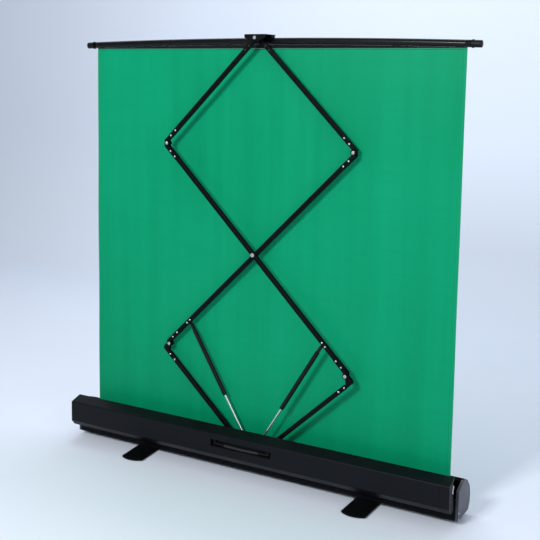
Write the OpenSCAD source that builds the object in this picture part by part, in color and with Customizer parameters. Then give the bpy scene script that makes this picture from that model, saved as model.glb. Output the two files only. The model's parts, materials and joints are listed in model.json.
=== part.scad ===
// Pull-up backdrop panel: a sheet of green fabric drawn out of a floor case
// by a two-stage scissor frame with two gas struts. X runs along the case,
// +Y is the side that the camera of a studio looks at, and Z is up.
// The origin is on the floor, midway between the two swivelling feet.

/* [Screen] */
// Width of the fabric
screen_w = 2000; // [1600:10:2200]
// Thickness of the fabric sheet
screen_t = 2; // [1:0.5:3]
// How far the fabric's top edge hangs below the top pivot
screen_drop = 48; // [44:1:60]

/* [Scissor frame] */
// Distance between two pivots of one arm
arm_l = 722; // [600:1:760]
// Slope of the arms when the screen is raised
raised_angle = 45.8; // [30:0.1:50]
// Slope of the arms when the frame is folded into the case
folded_angle = 1.8; // [1.8:0.1:2]
// Height of an arm's section
arm_w = 22; // [20:1:24]
// Depth of an arm's section
arm_depth = 18; // [16:1:20]
// Wall of the arm tube
arm_wall = 1.5; // [1:0.1:2.5]
// How far a long arm's axis lies from its elbow pivots
elbow_offset = 12; // [12:0.5:14]
// How far a lower arm's axis lies from its elbow pivot
lower_elbow_offset = 38; // [36:1:40]
// Height of the base pivot above the floor
base_pivot_z = 66.5; // [64:0.5:70]

/* [Gas struts] */
// Distance from the lower elbow pivot to the strut's mount, along the long arm
strut_mount_x = 175; // [160:1:190]
// Distance from the arm's axis to the strut's mount
strut_mount_drop = 24; // [23:0.5:26]
// Radius of the strut's cylinder
strut_r = 11; // [8:0.5:11]
// Radius of the strut's rod
rod_r = 5; // [4:0.5:5]
// Length of the cylinder from its mount to its open end
strut_cylinder_l = 390; // [340:5:420]

/* [Case] */
// Length of the case over its end caps
case_l = 2140; // [1800:10:2400]
// Radius of the case's curved front
front_r = 100; // [90:1:110]
// Wall of the case's extrusion
case_wall = 3; // [2:0.5:4]
// Height of the case's underside above the floor
case_floor_z = 25; // [22:1:30]
// Thickness of an end cap
cap_t = 12; // [8:1:16]

/* [Lid] */
// Height of the lid's hinge above the floor
hinge_z = 110; // [100:1:120]
// Wall of the lid's extrusion
lid_wall = 2.5; // [2:0.5:3.5]
// Length of each moulded lid end
lid_end_l = 46; // [30:1:60]
// Length of the carry handle's recess
tray_l = 342; // [300:1:380]
// Height of the carry handle's recess
tray_h = 40; // [36:1:44]

/* [Feet] */
// Length of a foot plate
foot_l = 482; // [380:1:560]
// Width of a foot plate
foot_w = 120; // [90:1:130]
// Distance of each foot's swivel from the middle of the case
foot_x = 630; // [450:1:800]
// Turn of the left foot away from square
left_foot_turn = 6; // [0:1:20]

/* [Top bar] */
// Radius of the top bar's tube
bar_r = 16; // [12:0.5:16]
// Rise of the top bar's middle over its ends
bar_bow = 15.5; // [5:0.5:17]

/* [Hidden] */
$fn = 48;
gap = 0.3;

// Planes that the parts lie in, seen from the end of the case
front_plane_y = -58;
rear_plane_y = -31;
screen_y = 8;
rear_wall_y = -83;
hinge_y = -90;

// Pivots of the scissor frame
elbow_x = arm_l * cos(raised_angle);
elbow_rise = arm_l * sin(raised_angle);
lower_elbow_z = base_pivot_z + elbow_rise;
upper_elbow_z = base_pivot_z + 3 * elbow_rise;
top_pivot_z = base_pivot_z + 4 * elbow_rise;
screen_top_z = top_pivot_z - screen_drop;

// Pins, rivets and plates of the frame
pin_r = 5;
rivet_r = 2.5;
rivet_head_r = 5;
rivet_x = [43, 80];
plate_t = 3;
eye_r = 12;
eye_t = arm_depth - 2 * gap - 0.2;
tube_start = 40;
tube_stop = 34;
end_rivet_x = [arm_l - 80, arm_l - 52];
open_pivot_r = pin_r + 0.5;
running_r = pin_r + 0.05;
lower_lug_outline = [
    [-12, 0], [-12, 34], [-4, 47], [39.4, 45], [39.4, 27.2], [24, 28], [12, 12], [12, 0]
];
upper_lug_outline = [
    [-11, 4], [-2, 22], [39.8, 20.4], [39.8, 2.2], [14, 2.4], [9, -8]
];

// Cheeks of the bottom and top brackets, and the pins between them
cheek_t = 3;
cheek_front_y = -76;
base_cheek_y = -16;
top_cheek_y = -12;
base_bracket_d = base_cheek_y + cheek_t - cheek_front_y;
top_bracket_d = top_cheek_y + cheek_t - cheek_front_y;
pin_head_t = 3;
pin_head_r = 8;
spacer_y = front_plane_y + eye_t / 2 + 0.6;
spacer_t = rear_plane_y - front_plane_y - eye_t - 1.2;

// Gas struts, from the shared pin above the base pivot to the long arm
strut_pin_z = base_pivot_z + 22;
strut_pin_r = 3;
strut_eye_r = 6.5;
mount_offset = elbow_offset * (1 - strut_mount_x / arm_l);
mount_z = mount_offset - strut_mount_drop;
mount_rivet_x = [strut_mount_x - 12, strut_mount_x + 12];
mount_lug_t = 6;
fork_t = 12;
fork_slot_x = [strut_mount_x - 77, strut_mount_x + 15];
mount_place = [
    elbow_x - strut_mount_x * cos(raised_angle) + mount_z * sin(raised_angle),
    lower_elbow_z + strut_mount_x * sin(raised_angle) + mount_z * cos(raised_angle)
];
strut_run = [mount_place[0], mount_place[1] - strut_pin_z];
strut_l = norm(strut_run);
strut_angle = atan2(strut_run[1], strut_run[0]);
strut_wall = 1.5;
clevis_l = 28;
neck_l = 3;
cylinder_end_x = strut_l - strut_cylinder_l;
rod_in_cylinder = 40;

// Case and lid
front_centre = [-15, case_floor_z + 65];
case_top_z = front_centre[1] + front_r;
case_inner_l = case_l - 2 * cap_t;
front_lip_y = 29;
rear_wall_top_z = 116;
lid_l = case_inner_l - 8;
lid_panel_l = lid_l - 2 * lid_end_l;
barrel_r = 6;
hinge_rod_r = 2;
hinge_places = [-900, -450, 0, 450, 900];
knuckle_l = 20;
screw_ports = [[-76, case_floor_z + 7], [-76, 62], [73.5, 62], [45, 161]];

// Lid section in its open place, from the hinge web round to the front flange
lid_back_y = -164;
lid_outline = [
    [-96, 104], [-99, 74], [-141, 78], [lid_back_y, 106], [lid_back_y, 210], [-97, 231]
];
tray_z = 163;
tray_depth = 24;
handle_pivot = [-151, tray_z + 12];
handle_half_l = 150;
handle_drop = 17;
handle_bow = 5;
latch_pivot = [-124, 196];

// Roller that winds the fabric
roller_r = 16;
wound_r = 17.2;
roller_z = 72;
roller_y = screen_y + screen_t / 2 + wound_r + gap;
roller_l = screen_w + 20;
roller_end_x = roller_l / 2;
axle_r = 4;

// Feet
foot_plate_z = 4;
foot_plate_t = 8;
foot_pin_r = 8;
foot_end_r = 97;

// Top bar, an arc that rises in the middle
bar_half_l = 1020;
bar_arc_r = (bar_half_l * bar_half_l + bar_bow * bar_bow) / (2 * bar_bow);
bar_arc_half = asin(bar_half_l / bar_arc_r);
bar_mid_z = screen_top_z + 34;
bar_arc_z = bar_mid_z - bar_arc_r;
folded_drop = 4 * arm_l * (sin(raised_angle) - sin(folded_angle));
folded_bar_z = bar_arc_z + bar_arc_r * cos(bar_arc_half) - folded_drop;
bar_sides = 24;
bar_steps = 20;
bracket_w = 112;

// ---- Helpers ----

// Extrudes a section drawn in Y and Z along X, centred on x = 0
module along_x(length) {
    translate([-length / 2, 0, 0]) rotate([90, 0, 90]) linear_extrude(length) children();
}

// Extrudes an outline drawn in X and Z along +Y, starting at y
module along_y(y, length) {
    translate([0, y + length, 0]) rotate([90, 0, 0]) linear_extrude(length) children();
}

// A cylinder along X, from x to x + length
module rod_x(x, length, r) {
    translate([x, 0, 0]) rotate([0, 90, 0]) cylinder(h = length, r = r);
}

// A cylinder along Y, from y to y + length
module rod_y(y, length, r) {
    translate([0, y + length, 0]) rotate([90, 0, 0]) cylinder(h = length, r = r);
}

// Draws the right-hand part, or its mirror image on the left
module on_side(right) {
    if (right) children();
    else mirror([1, 0, 0]) children();
}

// A rectangle with round corners, centred
module rounded_rect(w, h, r) {
    square([w - 2 * r, h], center = true);
    square([w, h - 2 * r], center = true);
    for (x = [-1, 1], y = [-1, 1])
        translate([x * (w / 2 - r), y * (h / 2 - r)]) circle(r);
}

// Unit normal on the left of the step from a to b
function left_normal(a, b) = let (d = b - a) [-d[1], d[0]] / norm(d);

// A line of points moved sideways by t, with mitred corners
function side_line(pts, t) = [
    for (i = [0 : len(pts) - 1])
        let (
            before = left_normal(pts[max(i - 1, 0)], pts[max(i, 1)]),
            after = left_normal(pts[min(i, len(pts) - 2)], pts[min(i + 1, len(pts) - 1)]),
            mid = before + after
        )
        pts[i] + mid * t * 2 / (mid * mid)
];

// Replaces each inner corner of a line by a short arc of n steps
function eased(pts, r, n) = [
    pts[0],
    for (i = [1 : len(pts) - 2])
        let (
            u = (pts[i - 1] - pts[i]) / norm(pts[i - 1] - pts[i]),
            v = (pts[i + 1] - pts[i]) / norm(pts[i + 1] - pts[i]),
            half = acos(u * v) / 2,
            reach = r / tan(half),
            centre = pts[i] + (u + v) / norm(u + v) * r / sin(half),
            from = pts[i] + u * reach - centre,
            to = pts[i] + v * reach - centre,
            turn = acos(from * to / (r * r)) * sign(from[0] * to[1] - from[1] * to[0])
        )
        for (k = [0 : n])
            let (a = turn * k / n)
            centre + [from[0] * cos(a) - from[1] * sin(a), from[0] * sin(a) + from[1] * cos(a)],
    pts[len(pts) - 1]
];

// A strip of even thickness along a line, on its left side
module strip(pts, t) {
    inner = side_line(pts, t);
    polygon(concat(pts, [for (i = [len(inner) - 1 : -1 : 0]) inner[i]]));
}

// ---- Case ----

// Outline of the case's end, from the flat back to the curved front
module case_outline(inset) {
    back = rear_wall_y + inset;
    low = case_floor_z + inset;
    intersection() {
        translate(front_centre) circle(front_r - inset, $fn = 180);
        translate([front_centre[0] - 1, low]) square([120, 200]);
    }
    polygon([
        [back, low], [front_centre[0], low], [front_centre[0], case_top_z - inset],
        [back + 8, case_top_z - inset], [back, case_top_z - inset - 8]
    ]);
}

module case_section() {
    difference() {
        case_outline(0);
        case_outline(case_wall);
        translate([-100, rear_wall_top_z]) square([100 + front_lip_y, 100]);
    }
    translate([front_lip_y + 1.5, 177]) circle(3);
    difference() {
        for (p = screw_ports) translate(p) circle(5);
        for (p = screw_ports) translate(p) circle(1.9);
        difference() {
            square(400, center = true);
            case_outline(case_wall / 2);
        }
    }
}

module base_shell() {
    color("#25272c") difference() {
        along_x(case_inner_l) difference() {
            case_section();
            for (p = screw_ports) translate(p) circle(1.9);
        }
        for (x = [-foot_x, foot_x])
            translate([x, 0, case_floor_z - 1]) cylinder(h = case_wall + 2, r = foot_pin_r + 0.05);
        // The screw ports stop short of the scissor bracket
        translate([-72, rear_wall_y + case_wall, case_floor_z + case_wall]) cube([144, 12, 70]);
    }
}

// Outline of an end cap, cut low at the back to clear the lid
module cap_outline(inset) {
    difference() {
        case_outline(inset);
        translate([0, -inset]) polygon([
            [rear_wall_y - 1, 160], [front_centre[0] - 4, case_top_z - 1],
            [front_centre[0], case_top_z + 4], [rear_wall_y - 1, case_top_z + 4]
        ]);
    }
}

module base_cap(right) {
    color("#3b3d44") on_side(right) difference() {
        translate([case_inner_l / 2, 0, 0]) rotate([90, 0, 90]) union() {
            linear_extrude(cap_t - 2) cap_outline(0);
            linear_extrude(cap_t) cap_outline(2);
        }
        translate([case_inner_l / 2 - 1, roller_y, roller_z]) rod_x(0, 7, axle_r + 0.05);
        // Pocket that the end of the top bar comes down into
        translate([case_inner_l / 2 - 1, screen_y - bar_r - 1.5, folded_bar_z - bar_r - 2])
            cube([9, 2 * bar_r + 3, 200]);
        for (p = screw_ports)
            translate([case_inner_l / 2 - 1, p[0], p[1]]) rod_x(0, cap_t + 2, 2.2);
    }
}

module cap_screws() {
    color("silver") for (side = [true, false], p = screw_ports)
        on_side(side) translate([case_l / 2, p[0], p[1]]) {
            rod_x(0, 2.5, 4);
            rod_x(-cap_t - 14, cap_t + 14, 1.8);
        }
}

// U bracket on the case's floor that holds the frame and the struts
module scissor_bracket() {
    floor_z = case_floor_z + case_wall;
    cheek_h = strut_pin_z + 8 - floor_z;
    color("#2b2d33") difference() {
        union() {
            translate([-70, cheek_front_y, floor_z]) cube([140, base_bracket_d, 3]);
            for (y = [cheek_front_y, base_cheek_y]) along_y(y, cheek_t) {
                translate([-45, floor_z]) square([90, 18]);
                translate([-20, floor_z]) square([40, cheek_h]);
                polygon([[-45, floor_z + 18], [-20, floor_z + 34], [20, floor_z + 34], [45, floor_z + 18]]);
            }
        }
        translate([0, cheek_front_y - 1, base_pivot_z]) rod_y(0, base_bracket_d + 2, pin_r);
        translate([0, cheek_front_y - 1, strut_pin_z]) rod_y(0, base_bracket_d + 2, strut_pin_r);
    }
}

module base_pivot_pins() {
    color("silver") {
        translate([0, 0, base_pivot_z]) {
            rod_y(cheek_front_y, base_bracket_d, pin_r);
            rod_y(spacer_y, spacer_t, pin_head_r);
            for (y = [cheek_front_y - pin_head_t, base_cheek_y + cheek_t])
                rod_y(y, pin_head_t, pin_head_r);
        }
        translate([0, 0, strut_pin_z]) {
            rod_y(cheek_front_y, base_bracket_d, strut_pin_r);
            for (y = [cheek_front_y - pin_head_t, base_cheek_y + cheek_t])
                rod_y(y, pin_head_t, 5);
        }
    }
}

module base_hinge_barrels() {
    color("#1c1e22") for (x = hinge_places, side = [-1, 1])
        translate([x + side * (knuckle_l + 0.4) - knuckle_l / 2, 0, 0]) difference() {
            union() {
                translate([0, hinge_y, hinge_z]) rod_x(0, knuckle_l, barrel_r);
                translate([0, hinge_y, hinge_z - 22]) cube([knuckle_l, rear_wall_y - hinge_y, 22]);
            }
            translate([-1, hinge_y, hinge_z]) rod_x(0, knuckle_l + 2, hinge_rod_r);
        }
}

module hinge_rods() {
    color("silver") for (x = hinge_places)
        translate([x, hinge_y, hinge_z]) rod_x(-32, 64, hinge_rod_r);
}

// ---- Lid ----

module lid_section(inset) {
    strip(eased([for (p = lid_outline) p + [inset, 0]], 7, 5), -lid_wall);
}

module lid_panel() {
    color("#26282e") difference() {
        along_x(lid_panel_l) lid_section(0);
        translate([-tray_l / 2, lid_back_y - 6, tray_z - tray_h / 2]) cube([tray_l, 12, tray_h]);
    }
}

// Moulded end: a short length of the lid's section closed by a plate
module lid_end(right) {
    plate = [
        [-97, 80], [-141, 80.5], [-162, 107], [-162, 208.5], [-100, 228], [-126, 205], [-112, 150]
    ];
    color("#1b1d21") on_side(right) {
        translate([lid_panel_l / 2 + 0.4 + (lid_end_l - 4) / 2, 0, 0])
            along_x(lid_end_l - 4.4) lid_section(0);
        difference() {
            translate([lid_l / 2 - 4, 0, 0]) rotate([90, 0, 90]) linear_extrude(4) union() {
                lid_section(0);
                polygon(plate);
            }
            translate([lid_l / 2 - 5, latch_pivot[0], latch_pivot[1]]) rod_x(0, 6, 2.5);
        }
    }
}

module lid_hinge_barrels() {
    color("#1c1e22") for (x = hinge_places) translate([x - knuckle_l / 2, 0, 0]) difference() {
        union() {
            translate([0, hinge_y, hinge_z]) rod_x(0, knuckle_l, barrel_r);
            rotate([90, 0, 90]) linear_extrude(knuckle_l) polygon([
                [hinge_y - barrel_r, hinge_z], [hinge_y, hinge_z - barrel_r],
                [-92, 101], [-93, 82], [-96, 82], [-96, hinge_z]
            ]);
        }
        translate([-1, hinge_y, hinge_z]) rod_x(0, knuckle_l + 2, hinge_rod_r + 0.06);
    }
}

// Pan behind the lid's slot that the carry handle folds into
module handle_tray() {
    color("#15161a") difference() {
        union() {
            translate([-tray_l / 2 + 0.2, lid_back_y, tray_z - tray_h / 2 + 0.2])
                cube([tray_l - 0.4, tray_depth, tray_h - 0.4]);
            translate([-tray_l / 2 - 8, lid_back_y + lid_wall + 0.1, tray_z - tray_h / 2 - 6])
                cube([tray_l + 16, 2, tray_h + 12]);
        }
        translate([-tray_l / 2 + 2.2, lid_back_y - 6, tray_z - tray_h / 2 + 2.2])
            cube([tray_l - 4.4, tray_depth + 4, tray_h - 4.4]);
        translate([-tray_l / 2 - 1, handle_pivot[0], handle_pivot[1]]) rod_x(0, tray_l + 2, 2.55);
    }
}

// Bail handle: two short arms and a bowed grip
module carry_handle() {
    arc_r = (handle_half_l * handle_half_l + handle_bow * handle_bow) / (2 * handle_bow);
    arc_half = asin(handle_half_l / arc_r);
    color("#2f3137") translate([0, handle_pivot[0], handle_pivot[1]]) {
        for (side = [true, false]) on_side(side) {
            rod_x(handle_half_l + 6, tray_l / 2 - handle_half_l - 6, 2.5);
            translate([handle_half_l, 0, 0]) rod_x(-5, 12, 5);
            translate([handle_half_l, 0, 0]) mirror([0, 0, 1]) cylinder(h = handle_drop, r = 5);
            translate([handle_half_l, 0, -handle_drop]) sphere(6);
        }
        translate([0, 0, -handle_drop - handle_bow + arc_r]) rotate([90, 0, 0])
            rotate([0, 0, -90 - arc_half])
                rotate_extrude(angle = 2 * arc_half, $fn = 720) translate([arc_r, 0]) circle(6);
    }
}

// Steel hook that swings on the lid's end and catches the end cap
module latch(right) {
    x = lid_l / 2 + 0.3;
    color("silver") on_side(right) {
        translate([x, latch_pivot[0], latch_pivot[1]]) rotate([90, 0, 90]) linear_extrude(3) difference() {
            union() {
                circle(7);
                polygon([[-7, 0], [-12, -24], [-6, -30], [6, -30], [6, -25], [1, -22], [7, 0]]);
            }
            circle(1);
        }
        translate([lid_l / 2 - 4.5, latch_pivot[0], latch_pivot[1]]) {
            rod_x(0, 4.8, 2.4);
            rod_x(7.8, 1.5, 5);
            rod_x(-1.5, 1.4, 5);
        }
    }
}

// ---- Feet ----

module foot_outline() {
    intersection() {
        square([foot_w, foot_l], center = true);
        union() {
            square([foot_w, foot_l - 41.6], center = true);
            for (side = [-1, 1])
                translate([0, side * (foot_l / 2 - foot_end_r)]) circle(foot_end_r, $fn = 96);
        }
    }
}

module foot_place(right) {
    translate([right ? foot_x : -foot_x, 0, 0]) rotate([0, 0, right ? 0 : left_foot_turn]) children();
}

module foot(right) {
    color("#101114") foot_place(right) difference() {
        translate([0, 0, foot_plate_z]) union() {
            linear_extrude(foot_plate_t - 2) foot_outline();
            translate([0, 0, foot_plate_t - 2]) linear_extrude(2)
                intersection() {
                    foot_outline();
                    square([foot_w - 4, foot_l - 4], center = true);
                }
        }
        cylinder(h = 30, r = foot_pin_r + 0.05);
    }
}

module foot_pads(right) {
    color("#08080a") foot_place(right) for (side = [-1, 1])
        translate([0, side * (foot_l / 2 - 34), 0]) linear_extrude(foot_plate_z)
            rounded_rect(foot_w - 24, 26, 10);
}

module foot_pins() {
    top = case_floor_z + case_wall;
    color("#4a4c52") for (x = [-foot_x, foot_x]) translate([x, 0, 0]) {
        translate([0, 0, 1]) cylinder(h = foot_plate_z - 1 - gap, r = 15);
        translate([0, 0, 1]) cylinder(h = top, r = foot_pin_r);
        translate([0, 0, foot_plate_z + foot_plate_t + gap])
            cylinder(h = case_floor_z - foot_plate_z - foot_plate_t - gap, r = 26);
        translate([0, 0, top]) cylinder(h = 4, r = 14);
    }
}

// ---- Scissor frame ----

// Arm frames start at an elbow pivot, with X towards the arm's other pivot and
// Z towards the side that the tube lies on.
module lower_arm_frame(right) {
    on_side(right) translate([elbow_x, 0, lower_elbow_z])
        rotate([0, 180 - raised_angle, 0]) children();
}

module upper_arm_frame(right) {
    on_side(right) translate([elbow_x, 0, upper_elbow_z])
        rotate([0, raised_angle - 180, 0]) mirror([0, 0, 1]) children();
}

module long_arm_frame(front) {
    on_side(!front) translate([-elbow_x, 0, lower_elbow_z])
        rotate([0, -raised_angle, 0]) children();
}

// The long arm again, seen from its other end
module from_both_ends() {
    children();
    translate([2 * arm_l, 0, 0]) rotate([0, 180, 0]) children();
}

// Height of the tube's axis over the pivot line at x
function axis_z(offset, x) = offset * (1 - x / arm_l);

// Moves to the tube's own axis, which leans from the offset at the elbow
module on_axis(offset) {
    translate([0, 0, offset]) rotate([0, atan(offset / arm_l), 0]) children();
}

module tube_section(inset) {
    rounded_rect(arm_w - 2 * inset, arm_depth - 2 * inset, 3 - inset);
}

// A length of the arm tube, from x1 to x2 on its own axis
module arm_tube(plane_y, x1, x2) {
    translate([x1, plane_y, 0]) rotate([0, 90, 0]) linear_extrude(x2 - x1) difference() {
        tube_section(0);
        tube_section(arm_wall);
    }
}

module rivet_holes(plane_y, offset, places) {
    for (x = places)
        translate([x, 0, axis_z(offset, x)]) rod_y(plane_y - 20, 40, rivet_r + 0.1);
}

// Rivets through an arm, with a domed head on each side
module rivets(plane_y, offset, places, face) {
    for (x = places) translate([x, plane_y, axis_z(offset, x)]) {
        rod_y(-face, 2 * face, rivet_r);
        for (side = [-1, 1]) translate([0, side * face, 0]) difference() {
            translate([0, -side * 3.8, 0]) sphere(6.2);
            rod_y(side < 0 ? 0 : -20, 20, 12);
        }
    }
}

module short_arm(plane_y, offset) {
    difference() {
        on_axis(offset) arm_tube(plane_y, tube_start, arm_l - tube_stop);
        rivet_holes(plane_y, offset, rivet_x);
        rivet_holes(plane_y, offset, end_rivet_x);
    }
}

// Cast lug: an eye on the elbow pivot and a spigot inside the tube
module elbow_lug(plane_y, offset, outline) {
    inner = [arm_w - 2 * arm_wall - 0.3, arm_depth - 2 * arm_wall - 0.3];
    difference() {
        union() {
            along_y(plane_y - eye_t / 2, eye_t) {
                circle(eye_r);
                polygon(outline);
            }
            on_axis(offset) translate([tube_start - 6, plane_y, 0]) rotate([0, 90, 0])
                linear_extrude(60) rounded_rect(inner[0], inner[1], 1.4);
        }
        rod_y(plane_y - 20, 40, running_r);
        rivet_holes(plane_y, offset, rivet_x);
    }
}

// Plain lug at the arm's other end, on the base pivot or the top pivot
module end_lug(plane_y, offset, bore_r) {
    inner = [arm_w - 2 * arm_wall - 0.3, arm_depth - 2 * arm_wall - 0.3];
    lean = atan(offset / arm_l);
    shoulder = arm_l / cos(lean) - (arm_l - tube_stop) - 0.2;
    difference() {
        union() {
            translate([arm_l, 0, 0]) rotate([0, lean, 0]) along_y(plane_y - eye_t / 2, eye_t) {
                circle(eye_r);
                translate([-shoulder, -7]) square([shoulder, 14]);
            }
            on_axis(offset) translate([arm_l - 100, plane_y, 0]) rotate([0, 90, 0])
                linear_extrude(68) rounded_rect(inner[0], inner[1], 1.4);
        }
        translate([arm_l, 0, 0]) rod_y(plane_y - 20, 40, bore_r);
        rivet_holes(plane_y, offset, end_rivet_x);
    }
}

module lower_arm(right) {
    color("#17181c") lower_arm_frame(right)
        short_arm(right ? front_plane_y : rear_plane_y, lower_elbow_offset);
}

module lower_lugs(right) {
    y = right ? front_plane_y : rear_plane_y;
    color("#0f1013") lower_arm_frame(right) {
        elbow_lug(y, lower_elbow_offset, lower_lug_outline);
        end_lug(y, lower_elbow_offset, running_r);
    }
}

module lower_rivets(right) {
    y = right ? front_plane_y : rear_plane_y;
    color("silver") lower_arm_frame(right)
        rivets(y, lower_elbow_offset, concat(rivet_x, end_rivet_x), arm_depth / 2);
}

// The upper left arm shares the front plane, the upper right arm the rear one
module upper_arm(right) {
    color("#17181c") upper_arm_frame(right)
        short_arm(right ? rear_plane_y : front_plane_y, elbow_offset);
}

module upper_lugs(right) {
    y = right ? rear_plane_y : front_plane_y;
    color("#0f1013") upper_arm_frame(right) {
        elbow_lug(y, elbow_offset, upper_lug_outline);
        end_lug(y, elbow_offset, right ? running_r : open_pivot_r);
    }
}

module upper_rivets(right) {
    y = right ? rear_plane_y : front_plane_y;
    color("silver") upper_arm_frame(right)
        rivets(y, elbow_offset, concat(rivet_x, end_rivet_x), arm_depth / 2);
}

module long_arm(front) {
    y = front ? front_plane_y : rear_plane_y;
    lean = atan(elbow_offset / arm_l);
    axis_l = arm_l / cos(lean);
    color("#17181c") long_arm_frame(front) difference() {
        on_axis(elbow_offset) arm_tube(y, 26, 2 * axis_l - 26);
        from_both_ends() rivet_holes(y, elbow_offset, rivet_x);
        rivet_holes(y, elbow_offset, mount_rivet_x);
        translate([arm_l, 0, 0]) rod_y(y - 20, 40, front ? pin_r + 0.02 : open_pivot_r);
        // Slot in the underside that the strut's fork dips into as the frame folds
        translate([fork_slot_x[0], y - arm_depth / 2 + arm_wall + 0.1, -5])
            cube([fork_slot_x[1] - fork_slot_x[0], arm_depth - 2 * arm_wall - 0.2, 7.5]);
    }
}

// Side plate of a long arm's elbow
module elbow_plate() {
    circle(14);
    translate([90, axis_z(elbow_offset, 90)]) circle(9.5);
    polygon([[-10, 9.8], [4, 21.5], [90, 20], [90, 1], [14, 2.4], [9, -10.7]]);
}

// Elbow plates at both ends of a long arm, and the lug for the gas strut
module long_plates(front) {
    y = front ? front_plane_y : rear_plane_y;
    color("#0f1013") long_arm_frame(front) difference() {
        union() {
            from_both_ends() for (side_y = [y - arm_depth / 2 - plate_t, y + arm_depth / 2])
                along_y(side_y, plate_t) elbow_plate();
            along_y(y - mount_lug_t / 2, mount_lug_t) {
                translate([strut_mount_x, mount_z]) circle(7);
                translate([strut_mount_x - 7, mount_z]) square([14, mount_offset - mount_z]);
                translate([strut_mount_x - 18, mount_offset - 8]) square([36, 16]);
            }
        }
        rivet_holes(y, elbow_offset, mount_rivet_x);
        from_both_ends() rod_y(y - 20, 40, pin_r);
        from_both_ends() rivet_holes(y, elbow_offset, rivet_x);
        translate([strut_mount_x, 0, mount_z]) rod_y(y - 20, 40, 3.2);
    }
}

// Elbow pins, rivets and, on the front arm, the centre bolt
module long_pins(front) {
    y = front ? front_plane_y : rear_plane_y;
    face = arm_depth / 2 + plate_t;
    color("silver") long_arm_frame(front) {
        from_both_ends() {
            rod_y(y - face, 2 * face, pin_r);
            rod_y(y - face - 2.5, 2.5, pin_head_r);
            rod_y(y + face, front ? 2 : 3, pin_head_r);
            rivets(y, elbow_offset, rivet_x, face);
        }
        rivets(y, elbow_offset, mount_rivet_x, arm_depth / 2);
        if (front) translate([arm_l, 0, 0]) {
            rod_y(front_plane_y - arm_depth / 2, 54.5, pin_r);
            rod_y(front_plane_y - arm_depth / 2 - 4, 4, 10);
            rod_y(spacer_y, spacer_t, pin_head_r);
            rod_y(-21.5, 4, 9);
        }
    }
}

// ---- Gas struts ----

module strut_frame(right) {
    on_side(right) translate([0, 0, strut_pin_z]) rotate([0, -strut_angle, 0]) children();
}

module strut_rod(right) {
    y = right ? front_plane_y : rear_plane_y;
    rod_end = cylinder_end_x + rod_in_cylinder;
    color("#d9dce0") strut_frame(right) difference() {
        union() {
            rod_y(y - 5, 10, strut_eye_r);
            translate([0, y, 0]) {
                rod_x(5, rod_end - 5, rod_r);
                rod_x(rod_end - 12, 12, strut_r - strut_wall - 0.2);
            }
        }
        rod_y(y - 10, 20, strut_pin_r + 0.05);
    }
}

// Cylinder with a fork that straddles the long arm's lug
module strut_cylinder(right) {
    y = right ? front_plane_y : rear_plane_y;
    fork_x = strut_l - clevis_l;
    color("#0c0d10") strut_frame(right) {
        translate([0, y, 0]) difference() {
            union() {
                rod_x(cylinder_end_x, fork_x - neck_l - cylinder_end_x, strut_r);
                rod_x(fork_x - neck_l - 1, neck_l + 1, strut_r - 2);
            }
            rod_x(cylinder_end_x + 5, fork_x - cylinder_end_x - 15, strut_r - strut_wall);
            rod_x(cylinder_end_x - 1, 8, rod_r + 0.08);
        }
        difference() {
            union() {
                translate([fork_x, y - fork_t / 2, -7]) cube([clevis_l, fork_t, 14]);
                translate([strut_l, 0, 0]) rod_y(y - fork_t / 2, fork_t, 7);
            }
            translate([fork_x + 8, y - mount_lug_t / 2 - 0.5, -10])
                cube([clevis_l + 10, mount_lug_t + 1, 20]);
        }
        for (end_y = [y - fork_t / 2 - 0.8, y + fork_t / 2])
            translate([strut_l, 0, 0]) rod_y(end_y, 0.8, 4.5);
    }
}

// ---- Top bar ----

// Moves to the bar's end on the arc, with X pointing outwards along the tube
module bar_end(right) {
    on_side(right) translate([0, screen_y, bar_arc_z]) rotate([0, bar_arc_half, 0])
        translate([0, 0, bar_arc_r]) children();
}

// Ring of points round the tube, at angle a from the middle of its arc
function bar_ring(a, r) = [
    for (k = [0 : bar_sides - 1])
        let (t = 360 * k / bar_sides, reach = bar_arc_r + r * cos(t))
        [reach * sin(a), screen_y + r * sin(t), bar_arc_z + reach * cos(a)]
];

// Hollow tube swept along the shallow arc, as an outer and an inner skin
module top_tube() {
    turns = [for (k = [0 : bar_steps]) bar_arc_half * (2 * k / bar_steps - 1)];
    outer = [for (a = turns) each bar_ring(a, bar_r)];
    inner = [for (a = turns) each bar_ring(a, bar_r - 1.5)];
    n = bar_sides;
    first_in = len(outer);
    last = bar_steps * n;
    skin = [
        for (i = [0 : bar_steps - 1], k = [0 : n - 1])
            let (k2 = (k + 1) % n) [i * n + k, i * n + k2, (i + 1) * n + k2, (i + 1) * n + k]
    ];
    bore = [for (f = skin) [for (v = [3 : -1 : 0]) f[v] + first_in]];
    rims = [
        for (k = [0 : n - 1]) let (k2 = (k + 1) % n) each [
            [k2, k, first_in + k, first_in + k2],
            [last + k, last + k2, first_in + last + k2, first_in + last + k]
        ]
    ];
    color("#1a1b1f") polyhedron(concat(outer, inner), concat(skin, bore, rims));
}

// Height of the tube's underside at x
function bar_underside(x) = bar_arc_z + sqrt(pow(bar_arc_r - bar_r - 0.2, 2) - x * x);

// Strip that closes the gap between the fabric's straight edge and the tube
module hem_strip() {
    steps = 24;
    color("#0d0e10") along_y(screen_y - 1.5, 3) polygon(concat(
        [[-screen_w / 2, screen_top_z], [screen_w / 2, screen_top_z]],
        [for (k = [0 : steps]) let (x = screen_w * (0.5 - k / steps)) [x, bar_underside(x)]]
    ));
}

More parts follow.
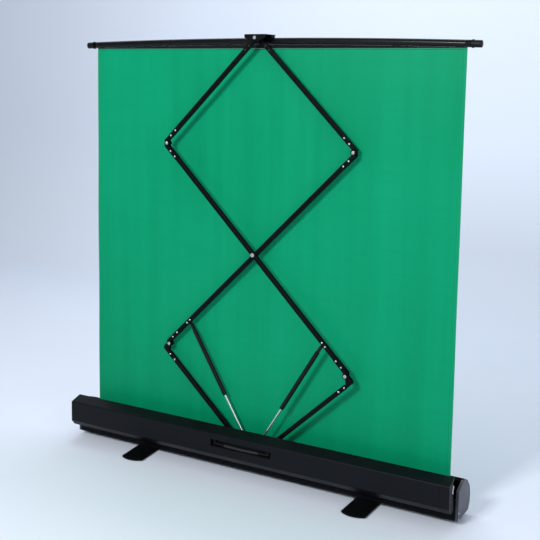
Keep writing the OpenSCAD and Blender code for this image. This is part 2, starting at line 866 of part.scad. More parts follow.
module top_cap(right) {
    color("#131417") bar_end(right) rotate([0, 90, 0]) {
        translate([0, 0, 0.2]) cylinder(h = 7, r = bar_r + 2.5);
        translate([0, 0, -28]) cylinder(h = 29, r = bar_r - 1.7);
        translate([0, 0, 7]) rotate_extrude() union() {
            square([bar_r, 33]);
            square([bar_r - 4, 37]);
            translate([bar_r - 4, 33]) circle(4);
        }
    }
}

// Channel that joins the two upper arms to the top tube
module top_bracket() {
    top_z = top_pivot_z + 16;
    half_w = bracket_w / 2;
    saddle_y = screen_y + bar_r + 2;
    color("#1d1f24") difference() {
        union() {
            translate([-half_w, cheek_front_y, top_z - cheek_t])
                cube([bracket_w, saddle_y - cheek_front_y, cheek_t]);
            along_y(cheek_front_y, cheek_t) polygon([
                [-half_w, top_z], [half_w, top_z], [half_w, top_z - 16],
                [20, top_z - 31], [-20, top_z - 31], [-half_w, top_z - 16]
            ]);
            along_y(top_cheek_y, cheek_t) {
                translate([-20, top_pivot_z - 14]) square([40, 30]);
                translate([-12, screen_top_z + 4]) square([24, 40]);
            }
            translate([-half_w + 4, top_cheek_y + cheek_t, bar_mid_z])
                cube([bracket_w - 8, saddle_y - top_cheek_y - cheek_t, top_z - bar_mid_z]);
        }
        translate([0, cheek_front_y - 1, top_pivot_z]) rod_y(0, top_bracket_d + 5, pin_r);
        translate([-half_w - 1, screen_y, bar_mid_z]) rod_x(0, bracket_w + 2, bar_r + 0.1);
    }
}

module top_pivot_pin() {
    color("silver") translate([0, 0, top_pivot_z]) {
        rod_y(cheek_front_y, top_bracket_d, pin_r);
        rod_y(cheek_front_y - pin_head_t, pin_head_t, pin_head_r);
        rod_y(spacer_y, spacer_t, pin_head_r);
    }
}

// ---- Fabric and roller ----

module fabric_panel() {
    low_z = roller_z;
    color("#11a875") translate([-screen_w / 2, screen_y - screen_t / 2, low_z])
        cube([screen_w, screen_t, screen_top_z - low_z - gap]);
}

module at_roller() {
    translate([0, roller_y, roller_z]) children();
}

module fabric_roll() {
    color("#0f9c6c") at_roller() difference() {
        rod_x(-screen_w / 2, screen_w, wound_r);
        rod_x(-screen_w / 2 - 1, screen_w + 2, roller_r);
    }
}

module roller_tube() {
    color("#9a9da3") at_roller() difference() {
        rod_x(-roller_end_x, roller_l, roller_r);
        rod_x(-roller_end_x - 1, roller_l + 2, roller_r - 1.5);
    }
}

module roller_plugs() {
    color("#2a2c31") at_roller() for (side = [true, false]) on_side(side) difference() {
        union() {
            rod_x(roller_end_x - 30, 30, roller_r - 1.55);
            rod_x(roller_end_x, 4, roller_r + 3);
        }
        rod_x(roller_end_x - 31, 40, axle_r + 0.05);
    }
}

// The axle carries the wind-up spring at the right-hand end
module roller_axles() {
    color("silver") at_roller() {
        rod_x(roller_end_x - 420, case_inner_l / 2 + 5 - roller_end_x + 420, axle_r);
        mirror([1, 0, 0]) rod_x(roller_end_x - 60, case_inner_l / 2 + 5 - roller_end_x + 60, axle_r);
        rod_x(roller_end_x - 412, 8, 9);
    }
}

module roller_spring() {
    color("silver") at_roller() for (k = [0 : 23])
        translate([roller_end_x - 60 - k * 14, 0, 0]) rotate([0, 90, 0])
            rotate_extrude() translate([9, 0]) circle(1.2);
}

module roller_mounts() {
    floor_z = case_floor_z + case_wall;
    x = roller_end_x + 8;
    color("#33353b") for (side = [true, false]) on_side(side) difference() {
        union() {
            translate([x, roller_y - 18, floor_z]) cube([3, 36, roller_z - floor_z]);
            translate([x, roller_y, roller_z]) rod_x(0, 3, 18);
            translate([x, roller_y - 18, floor_z]) cube([24, 36, 3]);
        }
        translate([x - 1, roller_y, roller_z]) rod_x(0, 5, axle_r);
    }
}

// ---- Nodes ----

base_shell();
base_cap(false);  // base_cap_left
base_cap(true);  // base_cap_right
cap_screws();
scissor_bracket();
base_pivot_pins();
base_hinge_barrels();
hinge_rods();
roller_mounts();
roller_axles();
roller_spring();
foot_pins();
lid_panel();
lid_end(false);  // lid_end_left
lid_end(true);  // lid_end_right
lid_hinge_barrels();
handle_tray();
carry_handle();
latch(false);  // latch_left
latch(true);  // latch_right
foot(false);  // foot_left
foot(true);  // foot_right
foot_pads(false);  // foot_pads_left
foot_pads(true);  // foot_pads_right
lower_arm(false);  // lower_arm_left
lower_arm(true);  // lower_arm_right
long_arm(true);  // long_arm_front
long_arm(false);  // long_arm_rear
upper_arm(false);  // upper_arm_left
upper_arm(true);  // upper_arm_right
lower_lugs(false);  // lower_lugs_left
lower_lugs(true);  // lower_lugs_right
long_plates(true);  // long_plates_front
long_plates(false);  // long_plates_rear
upper_lugs(false);  // upper_lugs_left
upper_lugs(true);  // upper_lugs_right
lower_rivets(false);  // lower_rivets_left
lower_rivets(true);  // lower_rivets_right
long_pins(true);  // long_pins_front
long_pins(false);  // long_pins_rear
upper_rivets(false);  // upper_rivets_left
upper_rivets(true);  // upper_rivets_right
strut_cylinder(false);  // strut_cylinder_left
strut_cylinder(true);  // strut_cylinder_right
strut_rod(false);  // strut_rod_left
strut_rod(true);  // strut_rod_right
top_tube();
hem_strip();
top_cap(false);  // top_cap_left
top_cap(true);  // top_cap_right
top_bracket();
top_pivot_pin();
fabric_panel();
fabric_roll();
roller_tube();
roller_plugs();
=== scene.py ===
import json
import math

import bpy
import numpy as np
from mathutils import Matrix, Vector


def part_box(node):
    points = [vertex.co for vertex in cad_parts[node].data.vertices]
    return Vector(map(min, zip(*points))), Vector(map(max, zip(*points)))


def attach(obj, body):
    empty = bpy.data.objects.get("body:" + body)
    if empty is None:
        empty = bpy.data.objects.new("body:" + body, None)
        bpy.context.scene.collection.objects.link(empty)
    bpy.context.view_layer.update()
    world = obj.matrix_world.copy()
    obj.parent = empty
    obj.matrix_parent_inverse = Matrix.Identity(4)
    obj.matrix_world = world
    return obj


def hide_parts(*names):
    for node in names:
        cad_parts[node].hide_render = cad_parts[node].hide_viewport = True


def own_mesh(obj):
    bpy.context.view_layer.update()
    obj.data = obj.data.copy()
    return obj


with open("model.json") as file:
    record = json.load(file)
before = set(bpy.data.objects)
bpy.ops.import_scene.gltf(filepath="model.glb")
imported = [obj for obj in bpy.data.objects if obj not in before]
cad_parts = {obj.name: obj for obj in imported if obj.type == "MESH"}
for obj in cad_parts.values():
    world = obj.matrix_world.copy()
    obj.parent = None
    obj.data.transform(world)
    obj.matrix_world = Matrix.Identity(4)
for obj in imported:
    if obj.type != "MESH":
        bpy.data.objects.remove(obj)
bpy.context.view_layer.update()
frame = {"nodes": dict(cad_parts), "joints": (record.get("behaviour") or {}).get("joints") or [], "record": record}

# Looks for a pull-up backdrop panel: green fabric on a scissor frame over a floor case.
# Everything is in metres in the part's own frame: +X along the case, the screen's
# front towards +Y, and the frame's side, which the camera sees, towards -Y.

RNG = np.random.default_rng(11)

CAMERA_PLACE = (2.315, -4.066, 1.949)
CAMERA_TURN = (29.69, 6.88, 0.85)  # yaw, pitch down and roll, in degrees
CAMERA_LENS = 64.9
CAMERA_SHIFT = (0.019, -0.138)

FABRIC_T = 0.0007
HEM_W = 0.016
CURL_W = 0.07  # how far in from its side edges the cloth curls
CLOTH_ROWS = 150
BAR_WALL = 0.0015
PIN_HEAD_T = 0.0025
STITCH_PITCH = 0.0052
STITCH_HALF = (0.0017, 0.0005, 0.0004)  # half of a stitch's length, width and height


# ---- Node trees ----

class Shader:
    """A material and short calls that build its node tree in object space."""

    def __init__(self, name):
        self.material = bpy.data.materials.new(name)
        self.material.use_nodes = True
        self.tree = self.material.node_tree
        self.bsdf = self.tree.nodes["Principled BSDF"]
        self.place = self.tree.nodes.new("ShaderNodeTexCoord")
        self.coords = self.place.outputs["Object"]

    def node(self, kind, inputs, **settings):
        made = self.tree.nodes.new(kind)
        for key, value in settings.items():
            setattr(made, key, value)
        for key, value in inputs.items():
            self.feed(made.inputs[key], value)
        return made

    def feed(self, socket, value):
        if isinstance(value, bpy.types.NodeSocket):
            self.tree.links.new(value, socket)
        else:
            socket.default_value = value

    def set(self, **values):
        for key, value in values.items():
            self.feed(self.bsdf.inputs[key.replace("_", " ")], value)

    def stretched(self, scale):
        mapped = self.node("ShaderNodeMapping", {"Vector": self.coords, "Scale": scale})
        return mapped.outputs["Vector"]

    def noise(self, scale, detail=3.0, rough=0.55, stretch=None):
        where = self.coords if stretch is None else self.stretched(stretch)
        inputs = {"Vector": where, "Scale": scale, "Detail": detail, "Roughness": rough}
        return self.node("ShaderNodeTexNoise", inputs).outputs["Fac"]

    def cells(self, scale):
        found = self.node("ShaderNodeTexVoronoi", {"Vector": self.coords, "Scale": scale})
        return found.outputs["Distance"]

    def wave(self, scale, axis):
        made = self.node(
            "ShaderNodeTexWave", {"Vector": self.coords, "Scale": scale},
            wave_type="BANDS", bands_direction=axis, wave_profile="SIN",
        )
        return made.outputs["Fac"]

    def span(self, value, low, high, start=0.0, end=1.0):
        """Maps start..end to low..high, and holds the ends."""
        inputs = {
            "Value": value, "From Min": start, "From Max": end, "To Min": low, "To Max": high,
        }
        return self.node("ShaderNodeMapRange", inputs).outputs["Result"]

    def maths(self, operation, a, b):
        made = self.tree.nodes.new("ShaderNodeMath")
        made.operation = operation
        self.feed(made.inputs[0], a)
        self.feed(made.inputs[1], b)
        return made.outputs[0]

    def mix(self, share, a, b):
        made = self.tree.nodes.new("ShaderNodeMix")
        made.data_type = "RGBA"
        self.feed(made.inputs["Factor"], share)
        for socket, value in ((made.inputs[6], a), (made.inputs[7], b)):
            self.feed(socket, value if isinstance(value, bpy.types.NodeSocket) else (*value, 1.0))
        return made.outputs[2]

    def bump(self, height, distance, strength=1.0, normal=None):
        inputs = {"Height": height, "Distance": distance, "Strength": strength}
        if normal is not None:
            inputs["Normal"] = normal
        return self.node("ShaderNodeBump", inputs).outputs["Normal"]

    def upward(self):
        """1 where the surface faces up, in the piece's own space, and 0 on its sides."""
        parts = self.node("ShaderNodeSeparateXYZ", {"Vector": self.place.outputs["Normal"]})
        return self.span(parts.outputs["Z"], 0.0, 1.0, 0.35, 1.0)


# ---- Materials ----

def coated(name, colour, rough, grain=900.0, grain_depth=0.00012, dust=0.012, shine=0.16):
    """Powder coat or grained moulding: fine grain, uneven gloss, a little dust on top.
    shine is the strength of its clear reflections."""
    s = Shader(name)
    light = tuple(c * 1.35 + 0.0006 for c in colour)
    dark = tuple(c * 0.78 for c in colour)
    cloud = s.noise(2.6, detail=4.0)
    speckle = s.noise(420.0, detail=2.0)
    body = s.mix(s.span(cloud, 0.0, 1.0, 0.3, 0.7), dark, light)
    fleck = tuple(c * 1.9 + 0.0014 for c in colour)
    body = s.mix(s.span(speckle, 0.0, 0.35, 0.55, 0.8), body, fleck)
    settled = s.span(s.noise(14.0, detail=5.0), 0.0, dust, 0.35, 0.75)
    body = s.mix(s.maths("MULTIPLY", s.upward(), settled), body, (0.42, 0.44, 0.47))
    gloss = s.span(s.noise(7.0, detail=5.0, rough=0.65), rough - 0.06, rough + 0.08, 0.3, 0.7)
    s.set(Base_Color=body, Roughness=gloss)
    s.set(Normal=s.bump(s.cells(grain), grain_depth, 0.45))
    s.bsdf.inputs["Specular IOR Level"].default_value = shine
    return s.material


def zinc_steel(name, colour, rough, streak, uneven=1.0, painted_above=None):
    """Plated steel with fine turning lines and a patchy sheen. uneven scales the lines.
    Fixings that sit higher than painted_above are painted black."""
    s = Shader(name)
    patch = s.noise(60.0, detail=3.0)
    lines = s.noise(700.0, detail=2.0, stretch=streak)
    body = s.mix(s.span(patch, 0.0, 1.0, 0.3, 0.7), tuple(c * 0.82 for c in colour), colour)
    bare = s.maths("ADD", 0.9, s.span(patch, 0.0, 0.1, 0.3, 0.7))
    if painted_above is not None:
        height = s.node("ShaderNodeSeparateXYZ", {"Vector": s.coords}).outputs["Z"]
        paint = s.span(height, 0.0, 1.0, painted_above, painted_above + 0.001)
        body = s.mix(paint, body, (0.004, 0.0044, 0.0056))
        bare = s.maths("MULTIPLY", bare, s.maths("SUBTRACT", 1.0, paint))
    s.set(Base_Color=body, Metallic=bare)
    s.set(Roughness=s.span(lines, rough - 0.07 * uneven, rough + 0.1 * uneven, 0.3, 0.7))
    s.set(Normal=s.bump(lines, 0.00003 * uneven, 0.5))
    return s.material


def screen_green(name):
    """Chroma green cloth: plain weave, faint vertical streaks and a soft sheen."""
    s = Shader(name)
    streak = s.noise(13.0, detail=5.0, rough=0.62, stretch=(1.0, 1.0, 0.03))
    cloud = s.noise(0.9, detail=3.0)
    slub = s.noise(55.0, detail=2.0, stretch=(0.06, 1.0, 1.0))
    deep, mid, pale = (0.0008, 0.236, 0.103), (0.0012, 0.272, 0.123), (0.0034, 0.318, 0.154)
    body = s.mix(s.span(streak, 0.0, 1.0, 0.32, 0.68), deep, mid)
    body = s.mix(s.span(cloud, 0.0, 0.55, 0.35, 0.7), body, pale)
    body = s.mix(s.span(slub, 0.0, 0.22, 0.45, 0.75), body, deep)
    weave = s.maths("MAXIMUM", s.wave(430.0, "X"), s.wave(430.0, "Z"))
    folds = s.bump(s.noise(5.0, detail=3.0, stretch=(1.0, 1.0, 0.12)), 0.004, 0.35)
    s.set(Base_Color=body, Roughness=s.span(streak, 0.34, 0.43, 0.3, 0.7))
    s.set(Normal=s.bump(weave, 0.00012, 0.5, folds))
    s.bsdf.inputs["Sheen Weight"].default_value = 0.01
    s.bsdf.inputs["Sheen Roughness"].default_value = 0.4
    s.bsdf.inputs["Specular IOR Level"].default_value = 0.06
    return s.material


def webbing(name, colour):
    """Black woven tape with ribs along its length."""
    s = Shader(name)
    ribs = s.wave(900.0, "Z")
    cross = s.wave(420.0, "X")
    weave = s.maths("MULTIPLY", ribs, cross)
    body = s.mix(weave, tuple(c * 0.6 for c in colour), tuple(c * 1.7 for c in colour))
    s.set(Base_Color=body, Roughness=s.span(s.noise(30.0), 0.72, 0.88, 0.3, 0.7))
    s.set(Normal=s.bump(weave, 0.0002, 0.6))
    s.bsdf.inputs["Sheen Weight"].default_value = 0.03
    s.bsdf.inputs["Specular IOR Level"].default_value = 0.12
    return s.material


def rubber(name, colour):
    """Matt rubber with paler scuffs."""
    s = Shader(name)
    scuff = s.noise(90.0, detail=5.0, rough=0.7)
    body = s.mix(s.span(scuff, 0.0, 0.5, 0.5, 0.8), colour, (0.06, 0.06, 0.062))
    s.set(Base_Color=body, Roughness=s.span(scuff, 0.7, 0.9, 0.3, 0.7))
    s.set(Normal=s.bump(s.cells(600.0), 0.0002, 0.5))
    return s.material


def thread(name, colour):
    """Sewing thread, with painted highlights along its twist."""
    s = Shader(name)
    twist_highlight = s.noise(1400.0, detail=1.0)
    # Lighter and darker copies of the thread colour: painted highlight and shade along the twist.
    body = s.mix(twist_highlight, tuple(c * 0.7 for c in colour), tuple(c * 1.25 for c in colour))
    s.set(Base_Color=body, Roughness=s.span(twist_highlight, 0.5, 0.7, 0.3, 0.7))
    return s.material


def backdrop_paint(name, colour):
    """Matt paint of the floor and wall, very slightly uneven."""
    s = Shader(name)
    cloud = s.noise(0.8, detail=2.0)
    body = s.mix(s.span(cloud, 0.0, 1.0, 0.3, 0.7), tuple(c * 0.985 for c in colour), colour)
    s.set(Base_Color=body, Roughness=0.85)
    return s.material


MATERIALS = {
    "housing": coated(
        "housing_coat", (0.0030, 0.0036, 0.0056), 0.38, dust=0.004, shine=0.12),
    "end_caps": coated(
        "cap_moulding", (0.042, 0.046, 0.062), 0.42, grain=1300.0, shine=0.4),
    "lid_moulding": coated(
        "lid_moulding", (0.0032, 0.0036, 0.0050), 0.44, grain=1500.0, shine=0.12),
    "bright_steel": zinc_steel("plated_steel", (0.62, 0.63, 0.65), 0.28, (1.0, 0.05, 1.0)),
    "black_steel": coated(
        "black_steel", (0.0018, 0.0021, 0.0028), 0.44, grain=1000.0, dust=0.003, shine=0.07),
    "arm_tube": coated(
        "arm_coat", (0.0016, 0.0019, 0.0026), 0.42, grain=1200.0, dust=0.003, shine=0.07),
    "strut_black": coated(
        "strut_coat", (0.0016, 0.0018, 0.0024), 0.24, grain=1500.0, dust=0.004, shine=0.2),
    "strut_chrome": zinc_steel(
        "strut_chrome", (0.78, 0.79, 0.81), 0.20, (1.0, 1.0, 1.0), uneven=0.1),
    "bar_plastic": coated("bar_moulding", (0.0040, 0.0044, 0.0056), 0.40, grain=1500.0),
    "green_fabric": screen_green("screen_cloth"),
    "hem_fabric": webbing("hem_webbing", (0.0026, 0.0028, 0.0036)),
    "pad_rubber": rubber("pad_rubber", (0.010, 0.010, 0.011)),
    "roller_aluminium": zinc_steel("roller_metal", (0.66, 0.67, 0.69), 0.38, (0.03, 1.0, 1.0)),
}
BAR_COAT = coated(
    "bar_coat", (0.0022, 0.0024, 0.0032), 0.24,
    grain=700.0, grain_depth=0.00002, dust=0.002, shine=0.2,
)
# Darker copy of the housing coat for the base shell: painted shade for the case's walls below the lid, which sit
# in shadow.
SHADED_CASE_COAT = coated("case_coat_painted_shade", (0.0022, 0.0026, 0.0038), 0.45, dust=0.006, shine=0.07)
PAINTED_RIVETS = zinc_steel(
    "arm_rivets", (0.62, 0.63, 0.65), 0.28, (1.0, 0.05, 1.0), painted_above=2.0,
)
GREEN_THREAD = thread("green_thread", (0.010, 0.33, 0.16))
BLACK_THREAD = thread("black_thread", (0.03, 0.031, 0.036))


def dress(piece, material):
    """Gives a piece one material in place of any that it has."""
    piece.data.materials.clear()
    piece.data.materials.append(material)


def dress_frame():
    """Gives each CAD node the material of its slot in the record."""
    for part in frame["record"]["subparts"]:
        dress(frame["nodes"][part["node"]], MATERIALS[part["material_slot"]])
    # The base shell gets the darker coat: painted shade below the lid's lip.
    dress(frame["nodes"]["base_shell"], SHADED_CASE_COAT)
    for side in ("left", "right"):
        dress(frame["nodes"]["upper_rivets_" + side], PAINTED_RIVETS)


# ---- Mesh helpers ----

def mesh_piece(name, points, faces, material, smooth=False):
    """A new object from points and faces, with one material."""
    mesh = bpy.data.meshes.new(name)
    mesh.from_pydata([tuple(p) for p in points], [], [tuple(f) for f in faces])
    mesh.update()
    piece = bpy.data.objects.new(name, mesh)
    bpy.context.scene.collection.objects.link(piece)
    dress(piece, material)
    if smooth:
        for face in mesh.polygons:
            face.use_smooth = True
    return piece


def grid_faces(columns, rows, start=0, flip=False):
    """Faces of a grid of points that is stored row by row."""
    faces = []
    for j in range(rows - 1):
        for i in range(columns - 1):
            a = start + j * columns + i
            face = (a, a + 1, a + 1 + columns, a + columns)
            faces.append(face[::-1] if flip else face)
    return faces


def rim_faces(loop, offset):
    """Faces that join a closed loop of points to its copy at index + offset."""
    pairs = zip(loop, loop[1:] + loop[:1])
    return [(b, a, a + offset, b + offset) for a, b in pairs]


def grid_loop(columns, rows):
    """Indices of a grid's outer points, in order round it."""
    low = list(range(columns))
    right = [j * columns + columns - 1 for j in range(1, rows)]
    top = [(rows - 1) * columns + i for i in range(columns - 2, -1, -1)]
    left = [j * columns for j in range(rows - 2, 0, -1)]
    return low + right + top + left


def thin_sheet(name, xs, zs, depth, thickness, material):
    """A closed thin sheet over a grid in X and Z. depth(x, z) gives its middle's Y."""
    x, z = np.meshgrid(xs, zs)
    y = depth(x, z)
    back = np.stack([x, y - thickness / 2, z], axis=-1).reshape(-1, 3)
    front = np.stack([x, y + thickness / 2, z], axis=-1).reshape(-1, 3)
    columns, rows = len(xs), len(zs)
    count = columns * rows
    faces = grid_faces(columns, rows)
    faces += grid_faces(columns, rows, start=count, flip=True)
    faces += rim_faces(grid_loop(columns, rows), count)
    return mesh_piece(name, np.concatenate([back, front]), faces, material, smooth=True)


def bars(name, centres, along, across, out, half, material):
    """Many small bevelled bars, such as stitches, in one mesh. half is their half size."""
    points, faces = [], []
    along, across, out = (np.array(v, float) for v in (along, across, out))
    corners = [(-1, -1), (1, -1), (1, 1), (-1, 1)]
    for centre in centres:
        start = len(points)
        for level, inset in ((0.0, 1.0), (0.6, 1.0), (1.0, 0.55)):
            for a, b in corners:
                reach = along * a * half[0] * inset
                side = across * b * half[1] * inset
                points.append(np.array(centre) + reach + side + out * half[2] * level)
        for ring in (0, 4):
            for k in range(4):
                k2 = (k + 1) % 4
                low, high = start + ring, start + ring + 4
                faces.append((low + k, low + k2, high + k2, high + k))
        faces.append((start + 8, start + 9, start + 10, start + 11))
        faces.append((start + 3, start + 2, start + 1, start))
    return mesh_piece(name, points, faces, material)


def lathe(profile, sides, place, axis):
    """Points and faces of a profile of (radius, height) turned about an axis at a place."""
    axis = Vector(axis).normalized()
    side = axis.orthogonal().normalized()
    other = axis.cross(side)
    points, faces = [], []
    for radius, height in profile:
        for k in range(sides):
            turn = 2 * math.pi * k / sides
            reach = side * math.cos(turn) * radius + other * math.sin(turn) * radius
            points.append(Vector(place) + reach + axis * height)
    for row in range(len(profile) - 1):
        for k in range(sides):
            k2 = (k + 1) % sides
            a, b = row * sides, (row + 1) * sides
            faces.append((a + k, a + k2, b + k2, b + k))
    faces.append(tuple(range(sides))[::-1])
    faces.append(tuple((len(profile) - 1) * sides + k for k in range(sides)))
    return points, faces


def joined(name, parts, material):
    """One piece from several lists of points and faces."""
    points, faces = [], []
    for some_points, some_faces in parts:
        start = len(points)
        points += [tuple(p) for p in some_points]
        faces += [tuple(i + start for i in face) for face in some_faces]
    return mesh_piece(name, points, faces, material)


def joint_place(name):
    """Where a joint's axis passes, in metres."""
    return Vector(next(j for j in frame["joints"] if j["name"] == name)["pos_m"])


# ---- Fabric ----

PANEL_LOW, PANEL_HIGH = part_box("fabric_panel")
ROLL_Z = PANEL_LOW.z
FABRIC_Y = (PANEL_LOW.y + PANEL_HIGH.y) / 2
FABRIC_W = PANEL_HIGH.x - PANEL_LOW.x
FABRIC_H = PANEL_HIGH.z - PANEL_LOW.z
FLUTES = [  # how often each flute repeats, where it starts, its lean and its depth
    tuple(RNG.uniform(*span) for span in ((2.0, 9.0), (0, 2 * math.pi), (-1.2, 1.2), (0.2, 1.0)))
    for _ in range(9)
]


def fabric_depth(x, z):
    """Y of the cloth: held straight at the bar and the roller, with shallow vertical
    flutes between them and side edges that curl a little towards the frame."""
    up = np.clip((z - ROLL_Z) / FABRIC_H, 0.0, 1.0)
    free = np.sin(np.pi * up) ** 0.6
    flutes = sum(a * np.sin(f * x * math.pi + p + lean * up) for f, p, lean, a in FLUTES)
    edge = np.clip((np.abs(x) - (FABRIC_W / 2 - CURL_W)) / CURL_W, 0.0, 1.0)
    curl = edge * edge * (0.0030 + 0.0016 * np.sin(5.0 * up * math.pi + np.sign(x)))
    return FABRIC_Y + free * (0.00055 * flutes - curl)


def follow_fold(piece):
    """Parents the cloth to the case's body and gives it a mesh of its own."""
    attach(piece, "case")
    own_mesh(piece)


def screen_cloth():
    """The whole sheet, with more columns where its side edges curl."""
    half = FABRIC_W / 2
    edge_columns = np.linspace(0.0, CURL_W, 8)[:-1]
    middle = np.linspace(-half + CURL_W, half - CURL_W, 150)
    xs = np.concatenate([-half + edge_columns, middle, (half - edge_columns)[::-1]])
    zs = np.linspace(ROLL_Z, PANEL_HIGH.z, CLOTH_ROWS)
    cloth = thin_sheet("screen_cloth", xs, zs, fabric_depth, FABRIC_T, MATERIALS["green_fabric"])
    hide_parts("fabric_panel")
    return cloth


def side_hem(side):
    """The cloth's side edge, folded to the back and sewn down."""
    half = FABRIC_W / 2
    xs = np.sort(side * np.linspace(half - HEM_W, half, 5))
    zs = np.linspace(ROLL_Z + 0.03, PANEL_HIGH.z, CLOTH_ROWS)

    def depth(x, z):
        return fabric_depth(x, z) - FABRIC_T

    name = "side_hem_right" if side > 0 else "side_hem_left"
    return thin_sheet(name, xs, zs, depth, FABRIC_T * 0.9, MATERIALS["green_fabric"])


def hem_stitches(side):
    """Two rows of stitches that hold a side hem."""
    x_rows = [side * (FABRIC_W / 2 - HEM_W + 0.003), side * (FABRIC_W / 2 - 0.003)]
    zs = np.arange(ROLL_Z + 0.05, PANEL_HIGH.z - 0.004, STITCH_PITCH)
    centres = []
    for x in x_rows:
        ys = fabric_depth(np.full_like(zs, x), zs) - FABRIC_T * 1.45
        centres += [(x, y, z) for y, z in zip(ys, zs)]
    name = "hem_stitches_right" if side > 0 else "hem_stitches_left"
    return bars(name, centres, (0, 0, 1), (1, 0, 0), (0, -1, 0), STITCH_HALF, GREEN_THREAD)


def fabric():
    """The cloth, its side hems and their stitches."""
    pieces = [screen_cloth()]
    for side in (-1, 1):
        pieces += [side_hem(side), hem_stitches(side)]
    for piece in pieces:
        follow_fold(piece)


# ---- Top bar ----

def top_tube():
    """The bowed tube again, round and smooth, on the arc that the CAD tube's box gives."""
    low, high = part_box("top_tube")
    radius = (high.y - low.y) / 2
    bow = high.z - low.z - 2 * radius
    arc = (high.x * high.x + bow * bow) / (2 * bow)
    middle = np.array([0.0, (low.y + high.y) / 2, high.z - radius - arc])
    sides, steps = 48, 64
    reach = math.asin(high.x / (arc + radius))
    points, faces = [], []
    for wall in (radius, radius - BAR_WALL):
        for step in range(steps + 1):
            turn = reach * (2 * step / steps - 1)
            for k in range(sides):
                a = 2 * math.pi * k / sides
                out = arc + wall * math.cos(a)
                place = (out * math.sin(turn), wall * math.sin(a), out * math.cos(turn))
                points.append(middle + place)
    inner = (steps + 1) * sides
    last = steps * sides
    for step in range(steps):
        for k in range(sides):
            k2 = (k + 1) % sides
            a, b = step * sides, (step + 1) * sides
            faces.append((a + k, a + k2, b + k2, b + k))
            faces.append((inner + b + k, inner + b + k2, inner + a + k2, inner + a + k))
    for k in range(sides):
        k2 = (k + 1) % sides
        faces.append((k2, k, inner + k, inner + k2))
        faces.append((last + k, last + k2, inner + last + k2, inner + last + k))
    tube = mesh_piece("bar_tube", points, faces, BAR_COAT, smooth=True)
    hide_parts("top_tube")
    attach(tube, "top_bar")


def hem_strip_stitches():
    """Rows of black stitches that sew the cloth into the strip under the bar."""
    low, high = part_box("hem_strip")
    xs = np.arange(low.x + 0.006, high.x - 0.004, STITCH_PITCH)
    centres = [(x, low.y, low.z + rise) for rise in (0.004, 0.011) for x in xs]
    along, across, out = (1, 0, 0), (0, 0, 1), (0, -1, 0)
    rows = bars("strip_stitches", centres, along, across, out, STITCH_HALF, BLACK_THREAD)
    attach(rows, "top_bar")


# ---- Fixings ----

def hex_screw(place, radius):
    """Domed head, standing on a face that looks towards -Y; its hexagon socket is painted shade, a dark disc laid
    on it separately.
    """
    dome = [(radius, 0.0), (radius, 0.0008), (radius * 0.86, 0.0019), (radius * 0.62, 0.0025)]
    return lathe(dome, 30, place, (0, -1, 0))


def socket_shade_disc(place, radius):
    """Dark hexagon let into the middle of a screw's head: painted shade that stands for the socket's hollow."""
    ring = [(radius, 0.0022), (radius, 0.00265), (radius * 0.78, 0.00265), (radius * 0.7, 0.0024)]
    return lathe(ring, 6, place, (0, -1, 0))


def pivot_screws():
    """Screw heads on the outer ends of the elbow pins."""
    elbows = {
        "front": ["lower_right_elbow", "upper_left_elbow"],
        "rear": ["lower_left_elbow", "upper_right_elbow"],
    }
    for side, joints in elbows.items():
        face_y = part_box("long_plates_" + side)[0].y - PIN_HEAD_T
        places = [Vector((joint_place(j).x, face_y, joint_place(j).z)) for j in joints]
        heads = [hex_screw(p, 0.0064) for p in places]
        # Dark hexagons on the heads are painted shade for the hollows of the hexagon holes.
        socket_shades = [socket_shade_disc(p, 0.0026) for p in places]
        for name, parts, slot in (
            ("pivot_heads_long_", heads, "bright_steel"),
            ("pivot_socket_shades_long_", socket_shades, "black_steel"),
        ):
            piece = joined(name + side, parts, MATERIALS[slot])
            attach(piece, "long_" + side)


# ---- Carry handle ----

def grip_sleeve():
    """Ribbed sleeve round the middle of the carry handle's bowed grip."""
    grip_r, half_l, bow = 0.006, 0.150, 0.005
    arc = (half_l * half_l + bow * bow) / (2 * bow)
    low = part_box("carry_handle")[0]
    middle = np.array([0.0, joint_place("handle_swing").y, low.z + grip_r + arc])
    sides, steps, ribs = 24, 120, 30
    reach = math.asin(0.095 / arc)
    points, faces = [], []
    for step in range(steps + 1):
        share = step / steps
        turn = reach * (2 * share - 1)
        at_end = min(share, 1 - share) * steps < 3
        rib = 0.00025 * (0.5 + 0.5 * math.cos(2 * math.pi * share * ribs))
        wall = grip_r + (0.0002 if at_end else 0.0007 + rib)
        for k in range(sides):
            a = 2 * math.pi * k / sides
            out = arc + wall * math.cos(a)
            place = (out * math.sin(turn), wall * math.sin(a), -out * math.cos(turn))
            points.append(middle + place)
    for step in range(steps):
        for k in range(sides):
            k2 = (k + 1) % sides
            a, b = step * sides, (step + 1) * sides
            faces.append((a + k2, a + k, b + k, b + k2))
    faces.append(tuple(range(sides)))
    faces.append(tuple(steps * sides + k for k in range(sides))[::-1])
    sleeve = mesh_piece("grip_sleeve", points, faces, MATERIALS["pad_rubber"], smooth=True)
    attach(sleeve, "handle")


# ---- Studio ----

def studio():
    """Pale floor that curves up into a pale wall behind the panel."""
    material = backdrop_paint("studio_paint", (0.80, 0.86, 0.97))
    half, near, bend, far, height = 14.0, -9.0, 3.2, 4.6, 8.0
    radius = far - bend
    path = [(near, 0.0), (bend, 0.0)]
    path += [
        (bend + radius * math.sin(t), radius * (1 - math.cos(t)))
        for t in np.linspace(0, math.pi / 2, 25)[1:]
    ]
    path.append((far, height))
    points = [(x, y, z) for y, z in path for x in (-half, half)]
    faces = [(2 * i, 2 * i + 1, 2 * i + 3, 2 * i + 2) for i in range(len(path) - 1)]
    floor = mesh_piece("studio_floor", points, faces, material, smooth=True)


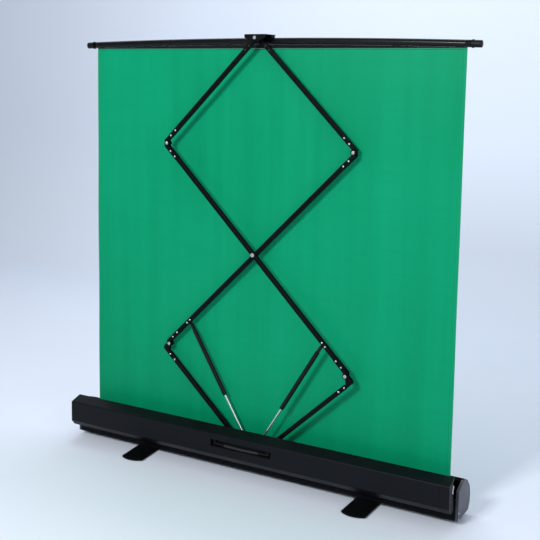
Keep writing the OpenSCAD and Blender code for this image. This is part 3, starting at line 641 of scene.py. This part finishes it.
def area_light(name, place, aim, size, power, colour):
    lamp = bpy.data.lights.new(name, "AREA")
    lamp.shape = "RECTANGLE"
    lamp.size, lamp.size_y = size
    lamp.energy = power
    lamp.color = colour
    holder = bpy.data.objects.new(name, lamp)
    holder.location = place
    holder.rotation_euler = (Vector(aim) - Vector(place)).to_track_quat("-Z", "Y").to_euler()
    bpy.context.scene.collection.objects.link(holder)


def lights():
    """A key light behind the camera, a weak fill, one over the backdrop and a pale sky."""
    area_light("key", (-0.2, -4.9, 3.5), (0.1, 0.0, 1.1), (1.1, 1.1), 205, (1.0, 1.0, 1.0))
    area_light("fill", (4.6, -3.0, 2.6), (0.2, 0.0, 1.1), (3.0, 2.4), 50, (0.95, 0.98, 1.0))
    area_light("top", (-0.9, 1.4, 4.8), (-0.9, 3.8, 0.6), (5.0, 1.6), 98, (0.96, 0.98, 1.0))
    world = bpy.data.worlds.new("studio_world")
    bpy.context.scene.world = world
    world.use_nodes = True
    sky = world.node_tree.nodes["Background"]
    sky.inputs["Color"].default_value = (0.92, 0.96, 1.0, 1.0)
    sky.inputs["Strength"].default_value = 0.42


def camera():
    """A three-quarter view of the frame's side, a little rolled and framed off centre."""
    yaw, pitch, roll = (math.radians(a) for a in CAMERA_TURN)
    forward = Vector((
        -math.sin(yaw) * math.cos(pitch), math.cos(yaw) * math.cos(pitch), -math.sin(pitch)
    ))
    level = Vector((math.cos(yaw), math.sin(yaw), 0))
    upright = level.cross(forward)
    right = level * math.cos(roll) + upright * math.sin(roll)
    up = upright * math.cos(roll) - level * math.sin(roll)
    lens = bpy.data.cameras.new("camera")
    lens.lens = CAMERA_LENS
    lens.sensor_width = 36.0
    lens.shift_x, lens.shift_y = CAMERA_SHIFT
    lens.clip_end = 60.0
    holder = bpy.data.objects.new("camera", lens)
    turn = Matrix((right, up, -forward)).transposed().to_4x4()
    holder.matrix_world = Matrix.Translation(CAMERA_PLACE) @ turn
    bpy.context.scene.collection.objects.link(holder)
    bpy.context.scene.camera = holder


dress_frame()
fabric()
top_tube()
hem_strip_stitches()
pivot_screws()
grip_sleeve()
studio()
lights()
camera()
bpy.context.scene.view_settings.view_transform = "Standard"
